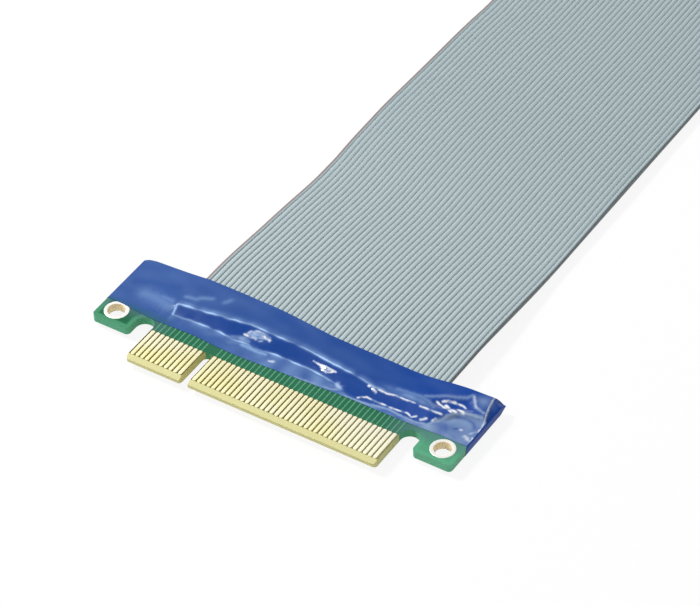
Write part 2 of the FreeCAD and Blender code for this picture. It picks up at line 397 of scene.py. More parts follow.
def makeLiners(finish):
    bm = bmesh.new()
    face = boardHigh.z
    top = face + liner["rise"]
    hole, bore, ring, rounding = [liner[size] for size in ("hole", "bore", "ring", "rounding")]
    half = [(bore, 0), (bore, face), (ring, face), (ring, face + 0.02), (ring - rounding, top - 0.008),
            (ring - 0.15, top), (hole + 0.12, top), (hole + rounding, top - 0.02), (hole, top - 0.06)]
    profile = half + [(r, -z) for r, z in reversed(half[1:])]
    line = [bm.verts.new((r, 0, z)) for r, z in profile]
    edges = [bm.edges.new((a, b)) for a, b in zip(line, line[1:] + line[:1])]
    bmesh.ops.spin(bm, geom=line + edges, cent=(0, 0, 0), axis=(0, 0, 1), dvec=(0, 0, 0),
                   angle=2 * math.pi, steps=liner["steps"], use_merge=True)
    bmesh.ops.remove_doubles(bm, verts=bm.verts, dist=liner["weld"])
    holeX = boardHigh.x - liner["setback"]
    spread(bm, [Vector((x, y, z)) for y, z in ((liner["edgeY"], 0), (liner["socketY"], socketMidZ))
                for x in (-holeX, holeX)])
    finishPiece(bm, "holeLiners", finish, ["hole_plating"])


def platingFinish():
    finish = Finish("tinnedCopper")
    x = abs(finish.axis("X")) - (boardHigh.x - liner["setback"])
    nearY = abs(finish.axis("Y") - liner["edgeY"])
    farY = abs(finish.axis("Y") - liner["socketY"])
    y = nearY.lesser(farY)
    radius = (x * x + y * y).root()
    inside = 1 - finish.ease(liner["hole"] + 0.02, liner["hole"] + 0.1, radius)
    speck = finish.grain(0.35, 4.0)
    # painted light: the bore's tan is lifted against the shade inside the hole
    litBoreTan = finish.colour(finish.ease(0.35, 0.7, speck), rgb(255, 243, 212), rgb(252, 230, 180))
    tin = finish.colour(speck * 0.5, rgb(255, 254, 250), rgb(246, 244, 234))
    finish.bump(speck, 0.005)
    return finish.done({"Base Color": finish.colour(inside, tin, litBoreTan), "Metallic": 0.15 - 0.1 * inside,
                        "Roughness": 0.3 + 0.25 * speck})


makeLiners(platingFinish())


# Ribbons: round ways side by side, joined at their grooves

ribbon = {
    "ways": 50, "groove": 0.2, "crest": 0.45, "pointsPerWay": 8, "bulge": 2.0, "fullness": 0.5,
    "stationGap": 1.9, "weld": 0.0005, "sharpAngle": 60,
    "upperRoute": [     # along the ribbon and height of its middle
        (17.3, 1.25), (24, 1.25), (31, 1.25), (36, 1.14), (42, 0.8), (48, 0.38), (54, -0.05), (60, -0.3),
        (66, -0.28), (72, -0.2), (84, 0.02), (96, -0.22), (104, -0.33), (112, -0.35), (126, -0.35),
        (138, -0.35), (143, -0.2), (149, 1.4), (154, 2.9), (157, 3.18), (163.5, 3.18)],
    "lowerRoute": [
        (17.3, -1.25), (24, -1.25), (34, -1.3), (45, -1.36), (90, -1.36), (138, -1.36), (143, -1.28),
        (149, -0.4), (154, 0.5), (157, 0.68), (163.5, 0.68)],
    "upperLeftSway": [      # along the ribbon and drift of that edge to the right
        (17, -0.6), (27, -0.6), (31, -0.48), (35, -0.28), (40, -0.12), (47, -0.08), (51, -0.02), (56, 0.11),
        (60, 0.14), (64, 0.11), (68, -0.08), (72, -0.19), (80, -0.23), (88, -0.1), (97, -0.02), (105, 0.05),
        (110, 0.17), (114, 0.36), (118, 0.57), (130, 0.5), (150, 0.0)],
    "upperRightSway": [(17, 0.0), (150, 0.0)],
    "lowerLeftSway": [
        (17, -0.9), (32, -0.85), (60, 0.0), (95, 0.0), (105, 0.4), (112, 0.9), (118, 1.2), (130, 0.9),
        (150, 0.0)],
    "lowerRightSway": [(17, -0.9), (32, -0.85), (60, 0.0), (150, 0.0)],
}


def waySection(low, high):      # the outline round all ways, starting at the left edge
    count = ribbon["ways"]
    per = ribbon["pointsPerWay"]
    pitch = (high.x - low.x) / count
    top = []
    for step in range(count * per + 1):
        way = min(step // per, count - 1)
        across = 2 * (step - way * per) / per - 1
        outer = (way == 0 and across < 0) or (way == count - 1 and across > 0)
        base = 0.0 if outer else ribbon["groove"]
        arch = (1 - abs(across) ** ribbon["bulge"]) ** ribbon["fullness"]
        top.append((low.x + step * pitch / per, base + (ribbon["crest"] - base) * arch))
    return top + [(x, -z) for x, z in reversed(top[:-1])]


def makeRibbon(word, finish):
    node = word + "_ribbon"
    low, high = boxOf(node)
    section = waySection(low, high)
    route = ribbon[word + "Route"]
    mid = throughPoints(route)
    atLeft, atRight = throughPoints(ribbon[word + "LeftSway"]), throughPoints(ribbon[word + "RightSway"])
    startY, endY = route[0][0], route[-1][0]
    stations = round((endY - startY) / ribbon["stationGap"])
    columns = len(section) - 1
    bm = bmesh.new()
    across = bm.verts.layers.float.new("across")
    bmesh.ops.create_grid(bm, x_segments=columns, y_segments=stations, size=0.5)
    for vert in bm.verts:
        x, z = section[round((vert.co.x + 0.5) * columns)]
        y = startY + (vert.co.y + 0.5) * (endY - startY)
        share = (x - low.x) / (high.x - low.x)
        vert[across] = share * ribbon["ways"]
        vert.co = (x + mix(atLeft(y), atRight(y), share), y, mid(y) + z)
    bmesh.ops.remove_doubles(bm, verts=bm.verts, dist=ribbon["weld"])
    bmesh.ops.holes_fill(bm, edges=[e for e in bm.edges if e.is_boundary], sides=0)
    finishPiece(bm, word + "Ribbon", finish, [node], ribbon["sharpAngle"])


def ribbonFinish():
    finish = Finish("greyInsulation")
    across = finish.attribute("across")
    way = across.maths("FLOOR", across)
    inWay = abs(across - way - 0.5) * 2
    tone = finish.node("ShaderNodeTexWhiteNoise", {"noise_dimensions": "1D"}, {"W": way})
    streak = finish.grain(1.2, 3.0, (1, 0.05, 1))
    speck = finish.grain(0.3, 2.0)
    base = finish.colour(0.25 * tone + 0.35 * streak, rgb(184, 199, 203), rgb(170, 186, 190))
    base = finish.colour(speck * 0.2, base, rgb(200, 214, 217))
    # painted shade darkens the grooves near the board; further along, painted light fills the grooves and
    # painted shade dulls the whole ribbon
    groove = finish.ease(0.5, 1.0, inWay)
    along = finish.ease(22, 90, finish.axis("Y"))
    base = finish.colour(groove * (1 - along) * 0.55, base, rgb(118, 132, 137))
    base = finish.colour(groove * along * 0.8, base, rgb(214, 227, 230))
    base = finish.colour(along * 0.5, base, rgb(154, 170, 174))
    leftEdge = 1 - finish.ease(0.4, 0.7, across)
    rightEdgeShade = finish.ease(ribbon["ways"] - 0.5, ribbon["ways"] - 0.2, across)
    base = finish.colour(leftEdge * 0.85, base, rgb(128, 92, 88))
    # painted shade along the ribbon's right edge
    base = finish.colour(rightEdgeShade * 0.8, base, rgb(92, 99, 102))
    finish.bump(speck + streak * 0.5, 0.012)
    return finish.done({"Base Color": base, "Roughness": 0.42 + 0.15 * streak})


insulation = ribbonFinish()
for word in ("upper", "lower"):
    makeRibbon(word, insulation)


# Tape: a turn of glossy film round each board, drawn down over ribbon, joints and board

film = {
    "thickness": 0.05, "rest": 0.09, "overRibbon": 0.95, "most": 0.99, "jointTop": 0.6, "ribbonEnd": 5.1,
    "jointEnd": 9.3, "columns": 420, "underColumns": 110, "sideColumns": 12, "rows": 76, "denseFrom": 4.4,
    "denseShare": 0.28, "sideBulge": 0.09, "sideInset": 0.05, "sideSquare": 0.45, "bend": 0.35,
    "leastFall": 1.0, "slackMiddle": 8.5, "slackWidth": (5.0, 5.6), "slackFrom": (0.8, 5.8),
    "slackUpTo": (2.4, 0.2), "tentFrom": (-36.6, -33.5), "tentChange": (3, 8), "pocketSoft": 1.5,
    "dimpleRim": 1.9, "dimpleRise": 0.05, "wave": 0.03, "waveSize": 5.0, "ripple": 0.010, "rippleSize": 1.6,
    "crumpleSize": 0.8, "pinchFrom": (35.6, 37.0), "weld": 0.0005, "sharpAngle": 60,
}
photoLay = {        # places are x across the board and d onto it from its ribbon side
    "covered": (ribbonLow.x - 0.3, ribbonHigh.x + 0.3), "seed": 3.0,
    "upperLine": throughPoints([
        (-25.4, 7.5), (-22.7, 7.0), (-19.1, 6.6), (-17.6, 6.25), (-15.1, 5.95), (-12, 5.5), (-10.5, 5.25),
        (-7.5, 5.3), (-5.5, 5.4), (-2.5, 5.4), (0.7, 5.55), (6.3, 6.15), (12, 6.7), (16.6, 7.4), (20, 7.3),
        (27, 7.3), (30.4, 6.8), (32.5, 4.9), (36, 4.0), (38, 3.8)]),
    "lowerLine": throughPoints([
        (-25.4, 9.4), (-22.5, 9.4), (-20.5, 9.1), (-15.9, 9.0), (-13.5, 9.1), (-11.8, 9.35), (-10.5, 9.15),
        (-9, 9.05), (-7.7, 9.4), (-5.5, 9.1), (-2.5, 8.8), (0, 8.85), (3, 8.8), (8.6, 9.4), (10.8, 10.0),
        (13.5, 10.4), (15, 10.4), (17, 9.9), (19.4, 9.7), (21.6, 9.6), (24, 9.5), (27.3, 9.6), (29.2, 8.8),
        (30.4, 7.4), (32.5, 5.3), (36, 4.4), (38, 4.2)]),
    "upperSheen": throughPoints([
        (-25.2, 0.0), (-24.7, 1.0), (-15, 0.9), (-8, 0.75), (0, 1.0), (9, 1.0), (15, 0.7), (20, 0.35),
        (28, 0.25), (31, 0.0)]),
    "lowerSheen": throughPoints([
        (-25.0, 0.0), (-24.5, 0.95), (-13, 1.0), (-8, 0.75), (-2, 0.95), (8, 1.0), (10.5, 0.8), (12, 0.0),
        (31, 0.0)]),
    "stuckLine": throughPoints([
        (-25, 10.4), (-12, 10.2), (-7, 9.6), (-2, 8.9), (7, 9.3), (11, 10.2), (14, 11.0), (19.7, 10.4),
        (23.3, 10.6), (27, 10.3), (29.2, 9.2), (30.4, 7.2), (32.5, 5.2), (36, 4.3)]),
    "rearEdge": throughPoints([
        (-38, 0.5), (-37.0, 0.2), (-36.7, -0.14), (-36.3, -0.35), (-35.6, -0.49), (-34.4, -0.6), (-31, -0.58),
        (-28, -0.58), (-25.2, -0.66), (-23, -0.8), (-17, -0.8), (-9, -0.7), (-3.7, -0.3), (4.4, 0.4),
        (13.5, 0.5), (19.6, 0.6), (24.2, 0.3), (26.8, -0.1), (30.7, -0.6), (35.3, -0.82), (35.8, -1.05),
        (36.2, -1.35), (36.6, -1.56), (37.1, -1.62), (38, -1.65)]),
    "frontEdge": throughPoints([
        (-38, 11.7), (-34, 11.6), (-31.5, 11.9), (-26, 12.2), (-19, 12.0), (-13.5, 12.3), (-9, 12.4),
        (-3, 12.1), (4, 11.8), (8.6, 11.6), (12.8, 11.4), (25, 11.3), (33, 11.0), (38, 11.1)]),
    "rightFold": throughPoints([(-1.2, 35.2), (1.6, 35.7), (4.5, 36.5), (7.6, 36.9), (13, 37.0)]),
    "pocket": [(25.5, 5.3), (29.5, 2.4), (32.4, 0.9), (35.6, 3.9), (31.2, 6.0), (28, 6.8)],
    "pocketDepth": 0.36, "dimple": (33.9, 7.9), "pinch": 1.6,
    "creases": [    # points, width, rise, painted sheen and painted glint
        ([(-32.0, 7.5), (-30.0, 7.5), (-28.4, 7.8), (-26.2, 8.4)], 1.3, 0.0, 0.3, 0.0),
        ([(-28.5, 6.9), (-26.2, 7.1)], 0.6, 0.0, 0.3, 0.0),
        ([(-24.9, 7.5), (-24.6, 9.4)], 0.25, 0.0, 0.9, 0.0),
        ([(-24.5, 5.1), (-22.6, 4.8), (-22.0, 4.0), (-20.3, 3.2)], 0.5, 0.03, 0.36, 0.0),
        ([(-17.8, 2.9), (-17.2, 1.9)], 0.5, 0.03, 0.3, 0.0),
        ([(-10.6, 7.5), (-10.0, 7.5), (-9.3, 7.6)], 0.19, 0.03, 0.5, 0.9),
        ([(-10.2, 7.0), (-9.9, 6.5), (-9.4, 6.3), (-9.0, 6.0), (-8.4, 5.9)], 0.2, 0.03, 0.5, 0.5),
        ([(-9.2, 7.4), (-8.5, 7.4), (-7.9, 7.5)], 0.24, 0.03, 0.5, 0.4),
        ([(-7.5, 7.7), (-7.0, 7.4)], 0.14, 0.02, 0.4, 0.4),
        ([(-7.1, 6.4), (-6.6, 6.6), (-5.8, 6.8)], 0.22, 0.04, 0.5, 1.0),
        ([(-9.8, 9.6), (-7.9, 9.7), (-6.2, 9.8), (-4.9, 9.6)], 0.55, 0.0, 0.7, 0.0),
        ([(-3.3, 10.7), (-2.7, 10.4)], 0.3, 0.02, 0.8, 0.5),
        ([(3.6, 7.1), (5.4, 7.4), (6.7, 7.3), (8.4, 7.5)], 0.14, 0.04, 0.6, 1.0),
        ([(5.8, 7.9), (6.9, 8.2)], 0.16, 0.04, 0.6, 0.9),
        ([(9.8, 9.6), (10.9, 10.1)], 0.45, 0.04, 0.8, 0.2),
        ([(2.7, 11.8), (7.2, 11.3), (9.7, 11.1), (11.1, 10.4)], 0.28, 0.02, 0.6, 0.1),
        ([(12.7, 11.3), (15.1, 11.2), (17.1, 11.0), (18.7, 10.6), (20.8, 10.2), (23.6, 10.5), (26.2, 10.6),
          (28.4, 10.0)], 0.32, 0.02, 0.66, 0.1),
        ([(28.4, 10.0), (29.5, 8.5), (30.5, 7.2), (31.7, 5.8), (32.8, 4.9), (36, 4.3)], 0.3, 0.0, 0.78, 0.1),
        ([(15.3, 7.6), (16.0, 7.7), (17.0, 8.2)], 0.22, 0.05, 0.7, 1.0),
        ([(17.0, 7.6), (19.0, 7.7), (20.6, 7.4), (22.4, 7.4), (24.4, 7.3)], 0.14, 0.04, 0.5, 1.0),
        ([(25.5, 7.4), (28.0, 7.4), (29.7, 7.2)], 0.15, 0.04, 0.5, 1.0),
        ([(14.8, 10.5), (16.1, 9.7), (18.2, 9.7), (20.5, 9.7), (22.7, 9.6), (24.2, 9.4), (25.2, 9.8),
          (25.9, 9.3)], 0.15, 0.04, 0.5, 1.0),
        ([(26.9, 9.6), (27.7, 9.0)], 0.2, 0.04, 0.6, 1.0),
        ([(28.9, 8.8), (29.2, 8.3)], 0.2, 0.04, 0.6, 1.0),
        ([(27.5, 5.0), (29.5, 5.6), (30.8, 6.0)], 0.19, 0.05, 0.5, 1.6),
        ([(29.1, 4.9), (31.5, 5.6)], 0.25, 0.05, 0.5, 1.6),
        ([(28.2, 4.4), (29.0, 3.8), (30.3, 3.4), (31.7, 3.4), (32.4, 3.8)], 0.17, 0.05, 0.5, 1.4),
        ([(31.6, 4.8), (32.7, 4.9)], 0.28, 0.05, 0.5, 1.5),
        ([(25.0, 5.0), (26.4, 4.2), (28.0, 3.1), (29.8, 2.4), (31.4, 1.6), (32.0, 0.6)],
         0.4, 0.03, 0.45, 0.0),
        ([(32.3, 0.8), (33.9, 2.8), (35.7, 3.4)], 0.28, 0.03, 0.7, 0.3),
        ([(35.3, -1.1), (35.8, 1.7), (36.6, 4.5), (37.0, 7.4)], 0.12, 0.0, 0.25, 0.75),
        ([(33.9, 8.1), (34.2, 8.1)], 0.25, 0.03, 0.8, 0.6),
        ([(35.5, 9.2), (36.1, 9.4), (36.6, 9.9)], 0.38, 0.03, 0.85, 0.4),
        ([(35.9, 8.2), (36.6, 7.3)], 0.3, 0.03, 0.8, 0.3),
        ([(36.8, 6.6), (37.0, 7.3)], 0.14, 0.0, 0.4, 0.8),
        ([(36.8, 8.8), (37.0, 9.8)], 0.14, 0.0, 0.4, 0.8),
        ([(20.0, 5.9), (24.6, 5.4), (26.4, 5.8), (27.6, 6.4)], 0.45, 0.0, 0.42, 0.0),
    ],
    "patches": [    # place, reach both ways and painted sheen
        (34.4, 1.0, 1.7, 1.7, 0.34), (36.1, 9.4, 0.6, 0.7, 0.75), (36.3, 7.8, 0.4, 0.5, 0.55),
        (23, 6.4, 4.6, 0.8, 0.48)],
    "wings": [      # corners, soft edge, painted sheen and painted glint
        ([(-14.2, 8.9), (-11.9, 7.85), (-10.6, 7.3), (-9.7, 7.2), (-8.6, 7.8), (-8.1, 8.7), (-9.0, 9.5),
          (-12.5, 9.7)], 0.9, 0.45, 0.08),
        ([(-10.6, 6.7), (-9.1, 5.5), (-7.7, 5.4), (-5.7, 5.9), (-5.3, 6.9), (-6.7, 7.35), (-7.9, 7.7),
          (-9.1, 7.8), (-10.8, 7.5)], 0.5, 0.52, 0.24),
        ([(3.5, 7.2), (4.8, 7.0), (6.0, 6.95), (7.3, 7.1), (8.5, 7.5), (7.8, 8.1), (6.8, 8.4), (5.6, 8.0)],
         0.25, 0.5, 1.0),
    ],
    "clear": [      # points, width and share of the painted sheen and haze lost
        ([(31.9, 6.0), (33.1, 5.6), (34.0, 5.5), (35.1, 5.7), (35.9, 6.6)], 0.35, 0.5),
        ([(31.2, 8.4), (32.2, 9.8), (34.0, 10.2)], 0.3, 0.25),
        ([(33.0, 8.5), (33.7, 8.0)], 0.2, 0.7),
        ([(-35.1, 5.8), (-32.7, 4.4), (-29.4, 4.4), (-27.3, 3.5)], 0.9, 0.35),
    ],
    "crumples": [   # place, reach both ways and height
        (-8.0, 7.0, 2.4, 0.9, 0.12), (6.2, 7.5, 2.2, 0.45, 0.12), (16.0, 7.8, 1.0, 0.5, 0.1),
        (30.4, 4.6, 2.2, 0.9, 0.1), (36.0, 9.6, 0.7, 1.6, 0.08), (22.5, 7.4, 6.0, 0.35, 0.05),
        (21.5, 9.7, 7.0, 0.35, 0.05), (33.9, 7.9, 0.8, 0.7, 0.06)],
}
plainLay = {        # the far end and the undersides, with fewer creases
    "covered": (underLow.x - 1.2, ribbonHigh.x + 0.3), "seed": 11.0,
    "upperLine": throughPoints([(-26, 6.6), (-8, 6.1), (9, 6.4), (28, 6.3)]),
    "lowerLine": throughPoints([(-26, 9.4), (-5, 9.8), (12, 9.5), (28, 9.7)]),
    "upperSheen": throughPoints([(-26, 0.0), (-20, 0.5), (20, 0.5), (26, 0.0)]),
    "lowerSheen": throughPoints([(-26, 0.0), (-20, 0.6), (20, 0.6), (26, 0.0)]),
    "stuckLine": throughPoints([(-38, 10.2), (0, 10.3), (38, 10.1)]),
    "rearEdge": throughPoints([(-38, -0.1), (0, -0.2), (38, -0.1)]),
    "frontEdge": throughPoints([(-38, 11.9), (0, 11.7), (38, 11.9)]),
    "rightFold": throughPoints([(-2, 34.6), (13, 35.4)]),
    "pocket": [], "pocketDepth": 0.0, "dimple": None, "pinch": 0.0,
    "creases": [([(-20, 8.0), (-17, 7.4)], 0.4, 0.04, 0.6, 0.0),
                ([(29, 7.2), (31, 5.4), (34, 4.2)], 0.4, 0.03, 0.5, 0.0)],
    "patches": [(-12, 9.0, 3.0, 0.8, 0.3)], "wings": [], "clear": [],
    "crumples": [(-12, 7.6, 4.0, 0.8, 0.1), (4, 8.0, 3.0, 0.7, 0.1), (19, 7.7, 3.0, 0.7, 0.1)],
}
underLay = dict(plainLay)       # the edge board's underside meets the pinch at the right
underLay["rearEdge"] = throughPoints([(-38, -0.1), (30, -0.2), (35, -0.6), (37.1, -1.62), (38, -1.65)])
underLay["pinch"] = photoLay["pinch"]
marks = {       # how the painted sheen, haze and glint marks spread
    "ragged": 0.35, "glintGaps": (-0.42, 0.08), "wander": 0.12, "core": (0.15, 0.13), "upperGlow": (0.8, 0.3),
    "lowerGlow": (0.3, 1.2), "coreShare": 0.55, "coreShine": 0.15, "stuckEdge": (-0.3, 0.5),
    "stuckFrom": (-16, -4), "stuckMilk": (0.3, 0.52), "stuckMore": (22, 28), "slopeFrom": (-25.6, -24.6),
    "flatSheen": (0.17, 0.02), "flatChange": (-34, 30),
}
lumps = {       # size and seed of their unevenness
    "bends": (2.2, 41.0), "stuck": (2.5, 20.0), "streaks": (0.8, 61.0), "patches": (1.4, 52.0),
    "flat": (5.0, 31.0),
}


def insideCorners(x, d, corners, soft):     # 1 well inside the corners, 0 outside
    share = 1.0
    for (ax, ad), (bx, bd) in zip(corners, corners[1:] + corners[:1]):
        length = math.hypot(bx - ax, bd - ad)
        away = ((bx - ax) * (d - ad) - (bd - ad) * (x - ax)) / length
        share *= ease(0, soft, away)
    return share


def fromLine(x, d, points):     # distance to a bent line
    best = 99.0
    for (ax, ad), (bx, bd) in zip(points, points[1:]):
        run = ((x - ax) * (bx - ax) + (d - ad) * (bd - ad)) / ((bx - ax) ** 2 + (bd - ad) ** 2)
        run = min(max(run, 0.0), 1.0)
        best = min(best, math.hypot(x - mix(ax, bx, run), d - mix(ad, bd, run)))
    return best


def soften(value, reach):       # value where it is above 0, with a rounded start
    if value > reach:
        return value
    return max(value + reach, 0.0) ** 2 / (4 * reach)


def lobe(away, before, after):      # a soft ridge with its own width on each side
    return math.exp(-(away / (before if away < 0 else after)) ** 2)


def creased(x, d, lay):         # rise, painted sheen and painted glint of the creases at a spot
    rise, creaseSheen, glint = 0.0, 0.0, 0.0
    for points, width, up, pale, shine in lay["creases"]:
        if points[0][0] - 3 * width < x < points[-1][0] + 3 * width:
            ragged = width * (1 + marks["ragged"] * ruffle(x, d, 0.5, lay["seed"] + 9))
            near = math.exp(-(fromLine(x, d, points) / ragged) ** 2)
            rise += up * near
            creaseSheen = max(creaseSheen, pale * near)
            glint = max(glint, shine * near)
    glint *= ease(*marks["glintGaps"], ruffle(x, d, 0.9, lay["seed"] + 3))
    return rise, creaseSheen, min(glint, 1.0)


def filmHeight(x, d, lay, rise):    # height over the board's face
    ribbonTop, rest = film["overRibbon"], film["rest"]
    left, right = lay["covered"]
    upper = lay["upperLine"](x)
    lower = max(lay["lowerLine"](x), upper + film["leastFall"])
    fall = (soften(d - upper, film["bend"]) - soften(d - lower, film["bend"])) / (lower - upper)
    height = mix(ribbonTop, rest, fall)
    slackNear, slackFar = [left - away for away in film["slackFrom"]]
    half = mix(*film["slackWidth"], ramp(slackNear, slackFar, x)) / 2
    slack = mix(ribbonTop, rest, ease(film["slackMiddle"] - half, film["slackMiddle"] + half, d))
    allSlack, noSlack = [left - away for away in film["slackUpTo"]]
    height = mix(slack, height, ease(allSlack, noSlack, x))
    rearTent, frontTent = film["tentFrom"]
    tent = mix(ramp(rearTent, left, x), ease(frontTent, left, x), ease(*film["tentChange"], d))
    height = mix(rest, height, tent)
    height = mix(height, rest, ramp(lay["rightFold"](d), boardHigh.x - film["sideInset"], x))
    if lay["pocket"]:
        height -= lay["pocketDepth"] * insideCorners(x, d, lay["pocket"], film["pocketSoft"])
    if lay["dimple"]:
        px, pd = lay["dimple"]
        away = math.hypot(x - px, d - pd)
        height += film["dimpleRise"] * (lobe(away - film["dimpleRim"], 0.6, 0.6) + lobe(away, 0.5, 0.5))
    loose = ramp(rest, ribbonTop, height)
    height += film["wave"] * ruffle(x, d * 1.6, film["waveSize"], lay["seed"]) * (0.35 + loose)
    height += film["ripple"] * ruffle(x, d, film["rippleSize"], lay["seed"] + 7) + rise
    for px, pd, reachX, reachD, size in lay["crumples"]:
        near = math.exp(-((x - px) / reachX) ** 2 - ((d - pd) / reachD) ** 2)
        if near > 0.03:
            height += size * near * facets(x, d, film["crumpleSize"], lay["seed"])
    floor = rest - 0.02
    if left < x < right:
        if d < film["ribbonEnd"]:
            floor = ribbonTop - 0.01
        else:
            floor += film["jointTop"] * (1 - ramp(film["ribbonEnd"], film["jointEnd"], d))
    height = min(max(height, floor), film["most"])
    if lay["pinch"] and d < 0:      # both sides come together behind the board's right corner
        closed = ramp(0, lay["pinch"], -d) * ease(*film["pinchFrom"], x)
        height = mix(height, film["thickness"] - boardHigh.z, closed)
    return height


def filmSheenAndHaze(x, d, lay, creaseSheen, shine):   # painted sheen and painted glint on the bends, creases and crumples, and a pale haze where it lies stuck to the board
    wander = marks["wander"] * ruffle(x, 0, 1.3, lay["seed"] + 5)
    upperAway = d - lay["upperLine"](x) - wander
    lowerAway = d - lay["lowerLine"](x) + wander
    upperSheen, lowerSheen = lay["upperSheen"](x), lay["lowerSheen"](x)
    uneven = 0.85 + 1.1 * ruffle(x, d, *lumps["bends"])
    core = uneven * max(upperSheen * lobe(upperAway, *marks["core"]),
                        lowerSheen * lobe(lowerAway, *marks["core"]))
    glow = uneven * max(upperSheen * lobe(upperAway, *marks["upperGlow"]),
                        lowerSheen * lobe(lowerAway, *marks["lowerGlow"]))
    clear = 1.0
    for points, width, share in lay["clear"]:
        clear *= 1 - share * lobe(fromLine(x, d, points), width, width)
    stuck = ease(*marks["stuckEdge"], d - lay["stuckLine"](x)) * ease(*marks["stuckFrom"], x)
    stuck *= mix(*marks["stuckMilk"], ramp(*marks["stuckMore"], x)) + 0.35 * ruffle(x, d, *lumps["stuck"])
    patches = 0.0
    for px, pd, reachX, reachD, pale in lay["patches"]:
        patches = max(patches, pale * math.exp(-((x - px) / reachX) ** 2 - ((d - pd) / reachD) ** 2))
    streaks = ease(-0.4, 0.3, ruffle(x + d, 2.5 * d, *lumps["streaks"]))
    for corners, soft, pale, bright in lay["wings"]:
        inside = insideCorners(x, d, corners, soft)
        patches = max(patches, pale * inside)
        shine = max(shine, bright * inside * streaks)
    patches *= 1 + 0.6 * ruffle(x, d, *lumps["patches"])
    slope = ease(-0.1, 0.3, upperAway) * (1 - ease(-0.3, 0.1, lowerAway)) * ease(*marks["slopeFrom"], x)
    # painted reflection: the flat film is paler towards the left
    flat = mix(*marks["flatSheen"], ramp(*marks["flatChange"], x)) * (1 - slope)
    flat += 0.06 * ruffle(x, d * 2, *lumps["flat"])
    onBends = mix(glow, core, marks["coreShare"])
    marked = min(max(onBends, stuck * clear, patches, creaseSheen), 1.0)
    return mix(max(flat * clear, 0.0), 1.0, marked), max(shine, marks["coreShine"] * core)


def makeFilm(name, node, finish, ribbonSideY, inward, midZ, topLay, bottomLay):
    counts = [film["columns"], film["sideColumns"], film["underColumns"], film["sideColumns"]]
    starts = [sum(counts[:i]) for i in range(5)]
    face = boardHigh.z
    reach = boardHigh.x - film["sideInset"]
    bm = bmesh.new()
    sheenAndHaze = bm.verts.layers.float.new("sheenAndHaze")
    glint = bm.verts.layers.float.new("glint")
    bmesh.ops.create_grid(bm, x_segments=starts[4], y_segments=film["rows"], size=0.5)

    def inset(x, share, lay):   # rows stand closer together where the film steps down
        rear, front = lay["rearEdge"](x), lay["frontEdge"](x)
        if share < film["denseShare"]:
            return mix(rear, film["denseFrom"], share / film["denseShare"])
        return mix(film["denseFrom"], front, (share - film["denseShare"]) / (1 - film["denseShare"]))

    for vert in bm.verts:       # stretches: over the board, its right side, under it, its left side
        column = round((vert.co.x + 0.5) * starts[4])
        share = vert.co.y + 0.5
        stretch = max(i for i in range(4) if column >= starts[i])
        along = (column - starts[stretch]) / counts[stretch]
        if stretch in (0, 2):
            lay, side = (topLay, 1) if stretch == 0 else (bottomLay, -1)
            x = mix(-reach, reach, along) * side
            d = inset(x, share, lay)
            rise, creaseSheen, shine = creased(x, d, lay)
            z = side * (face + filmHeight(x, d, lay, rise))
            vert[sheenAndHaze], vert[glint] = filmSheenAndHaze(x, d, lay, creaseSheen, shine)
        else:
            side = 1 if stretch == 1 else -1
            turn = along if side > 0 else 1 - along
            topD = inset(side * reach, share, topLay)
            bottomD = inset(side * reach, share, bottomLay)
            d = mix(topD, bottomD, turn)
            topZ = face + filmHeight(side * reach, topD, topLay, 0)
            bottomZ = -face - filmHeight(side * reach, bottomD, bottomLay, 0)
            down = math.cos(math.pi * turn)
            corner = abs(down)
            z = mix((topZ + bottomZ) / 2, topZ if down > 0 else bottomZ, corner ** film["sideSquare"])
            bulge = film["sideBulge"] * (1 - corner ** 4) - film["sideInset"] * corner ** 8
            x = side * (reach + film["sideInset"] + bulge)
        vert.co = (x, ribbonSideY + inward * d, midZ + z)
    bmesh.ops.remove_doubles(bm, verts=bm.verts, dist=film["weld"])
    bmesh.ops.recalc_face_normals(bm, faces=bm.faces)
    bmesh.ops.solidify(bm, geom=bm.faces[:], thickness=film["thickness"])
    finishPiece(bm, name, finish, [node], film["sharpAngle"])


def filmFinish():
    finish = Finish("blueFilm")
    x, y = finish.axis("X"), finish.axis("Y")
    sheenAndHaze, glint = finish.attribute("sheenAndHaze"), finish.attribute("glint")
    cloud = finish.grain(7.0, 3.0)
    base = finish.colour(cloud, rgb(10, 60, 140), rgb(20, 70, 150))
    # painted reflection: the film is deeper blue towards the right
    base = finish.colour(finish.ease(8, 30, x) * 0.6, base, rgb(12, 70, 164))
    atRight = finish.ease(20, 30, x)
    sheenHazeColour = finish.colour(atRight, rgb(142, 178, 226), rgb(156, 182, 211))
    # painted sheen: pale blue along the bends, creases and crumples stands for highlights, whiter blue where
    # strongest; where the film lies stuck the paleness is its haze
    base = finish.colour(sheenAndHaze, base, sheenHazeColour)
    base = finish.colour(finish.ease(0.6, 1.0, sheenAndHaze) * (1 - 0.8 * atRight), base, rgb(160, 202, 255))
    leftFront = (1 - finish.ease(10.5, 12.2, y)) * (1 - finish.ease(-26, -22, x))
    base = finish.colour(leftFront * 0.4, base, rgb(28, 100, 70))       # board shows faintly through
    # painted glints: white marks for the highlights on the film's creases
    base = finish.colour(glint, base, rgb(244, 247, 252))
    finish.bump(finish.grain(0.6, 4.0), 0.004)
    onSide = finish.ease(boardHigh.x - 0.5, boardHigh.x - film["sideInset"], abs(x))
    pastFold = finish.ease(35.6, 36.3, x)
    return finish.done({"Base Color": base, "Roughness": 0.24 + 0.08 * cloud, "Specular IOR Level": 0.12,
                        "Coat Weight": (1 - 0.9 * onSide) * (1 - 0.8 * pastFold), "Coat Roughness": 0.05})


